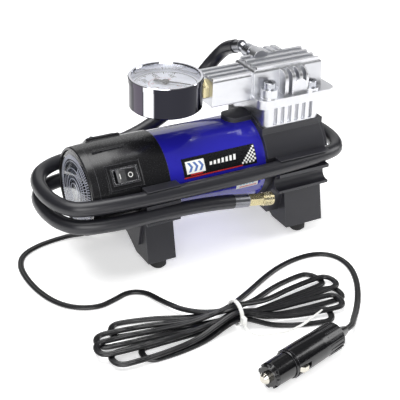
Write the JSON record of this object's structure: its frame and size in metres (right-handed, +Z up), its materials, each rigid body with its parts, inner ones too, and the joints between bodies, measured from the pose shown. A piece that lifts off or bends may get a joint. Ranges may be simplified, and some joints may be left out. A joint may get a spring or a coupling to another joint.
{
  "type": "portable tire inflator",
  "caption": "Single cylinder twelve volt air compressor with a lamp, pressure gauge, finned cast head, side stands that hold its coiled air hose, and a cord with a socket plug.",
  "frame": {"origin": "on the floor under the middle of the compressor's own box, cords left out", "axes": "+X along the motor axis from the lamp towards the pump, +Z up, -Y the side with the power switch"},
  "size_m": [0.2722, 0.271, 0.1405],
  "materials": {
    "blue_paint": "gloss",
    "black_abs": "gloss",
    "clear_lens": "clear",
    "bright_plating": "polished",
    "circuit_board": "satin",
    "lamp_led": "gloss",
    "switch_plastic": "satin",
    "brass_terminal": "satin",
    "drawn_steel": "satin",
    "ferrite": "matte",
    "carbon": "matte",
    "bearing_bronze": "satin",
    "laminated_steel": "satin",
    "copper": "satin",
    "fan_plastic": "matte",
    "cast_aluminium": "satin",
    "seal_ring": "matte",
    "housing_plastic": "satin",
    "screw_steel": "bright zinc",
    "brass": "satin",
    "gauge_chrome": "polished",
    "gauge_glass": "clear",
    "dial_face": "satin",
    "pointer_paint": "satin",
    "foot_rubber": "matte",
    "hose_rubber": "satin",
    "fitting_steel": "satin",
    "cord_pvc": "satin",
    "tie_nylon": "satin",
    "plug_plastic": "gloss",
    "nickel": "polished"
  },
  "bodies": {
    "pump": {"air_hose": "hose_rubber", "cable_tie": "tie_nylon", "carbon_brushes": "carbon", "chuck_body": "brass", "cord_gland": "black_abs", "cord_hank": "cord_pvc", "cord_lead": "cord_pvc", "cord_tail": "cord_pvc", "cylinder_block": "cast_aluminium", "cylinder_head": "cast_aluminium", "front_cap": "black_abs", "front_stand": "housing_plastic", "gauge_bezel": "gauge_chrome", "gauge_case": "gauge_chrome", "gauge_dial": "dial_face", "gauge_lens": "gauge_glass", "gauge_stem": "brass", "gauge_tube": "brass", "head_screws": "screw_steel", "hose_end_ferrule": "fitting_steel", "hose_ferrule": "fitting_steel", "hose_fitting": "fitting_steel", "housing_screws": "screw_steel", "lamp_bezel": "black_abs", "lamp_board": "circuit_board", "lamp_leds": "lamp_led", "lamp_lens": "clear_lens", "lamp_reflector": "bright_plating", "lamp_switch_frame": "switch_plastic", "motor_can": "drawn_steel", "motor_end_plate": "drawn_steel", "motor_magnets": "ferrite", "motor_tube": "blue_paint", "piston": "cast_aluminium", "piston_seal": "seal_ring", "plug_body": "plug_plastic", "plug_strain_relief": "plug_plastic", "power_switch_frame": "switch_plastic", "rear_cover": "housing_plastic", "rear_housing": "housing_plastic", "rear_stand": "housing_plastic", "rubber_feet": "foot_rubber", "shaft_bearings": "bearing_bronze", "switch_terminals": "brass_terminal", "valve_plate": "drawn_steel", "valve_reeds": "drawn_steel"},
    "rotor": {"motor_shaft": "drawn_steel", "armature_core": "laminated_steel", "commutator": "copper", "cooling_fan": "fan_plastic", "crank_disc": "drawn_steel"},
    "rod": {"connecting_rod": "cast_aluminium", "wrist_pin": "drawn_steel"},
    "power_key": {"power_rocker": "switch_plastic"},
    "lamp_key": {"lamp_rocker": "switch_plastic"},
    "needle": {"gauge_pointer": "pointer_paint"},
    "nut": {"chuck_nut": "brass"},
    "tip": {"plug_tip": "nickel"},
    "left_contact": {"plug_contact_left": "nickel"},
    "right_contact": {"plug_contact_right": "nickel"}
  },
  "joints": [
    {"name": "motor_spin", "type": "hinge", "parent": "pump", "child": "rotor", "pos_m": [0, 0, 0.0597], "axis": [1, 0, 0], "continuous": true},
    {"name": "rod_turn", "type": "hinge", "parent": "rotor", "child": "rod", "pos_m": [0.066, 0, 0.0657], "axis": [1, 0, 0], "continuous": true},
    {"name": "power_rock", "type": "hinge", "parent": "pump", "child": "power_key", "pos_m": [-0.0764, -0.02558, 0.07808], "axis": [0, 0.5835, 0.8121], "range_deg": [-16, 0]},
    {"name": "lamp_rock", "type": "hinge", "parent": "pump", "child": "lamp_key", "pos_m": [-0.0745, 0.02025, 0.08383], "axis": [0, 0.766, -0.6428], "range_deg": [-16, 0]},
    {"name": "needle_turn", "type": "hinge", "parent": "pump", "child": "needle", "pos_m": [-0.0297, 0, 0.13], "axis": [0, 0, -1], "range_deg": [0, 270], "stiffness_Nm_per_rad": 0.00005},
    {"name": "nut_turn", "type": "hinge", "parent": "pump", "child": "nut", "pos_m": [0.03545, -0.0418, 0.04072], "axis": [0.9869, 0, -0.1613], "continuous": true},
    {"name": "tip_press", "type": "slide", "parent": "pump", "child": "tip", "axis": [0.9646, 0.2639, 0], "range_m": [0, 0.003], "stiffness_N_per_m": 800},
    {"name": "left_contact_press", "type": "slide", "parent": "pump", "child": "left_contact", "axis": [-0.2639, 0.9646, 0], "range_m": [0, 0.0012], "stiffness_N_per_m": 600},
    {"name": "right_contact_press", "type": "slide", "parent": "pump", "child": "right_contact", "axis": [0.2639, -0.9646, 0], "range_m": [0, 0.0012], "stiffness_N_per_m": 600}
  ],
  "couplings": [
    {"joint": "rod_turn", "follows": "motor_spin", "ratio": -1}
  ]
}
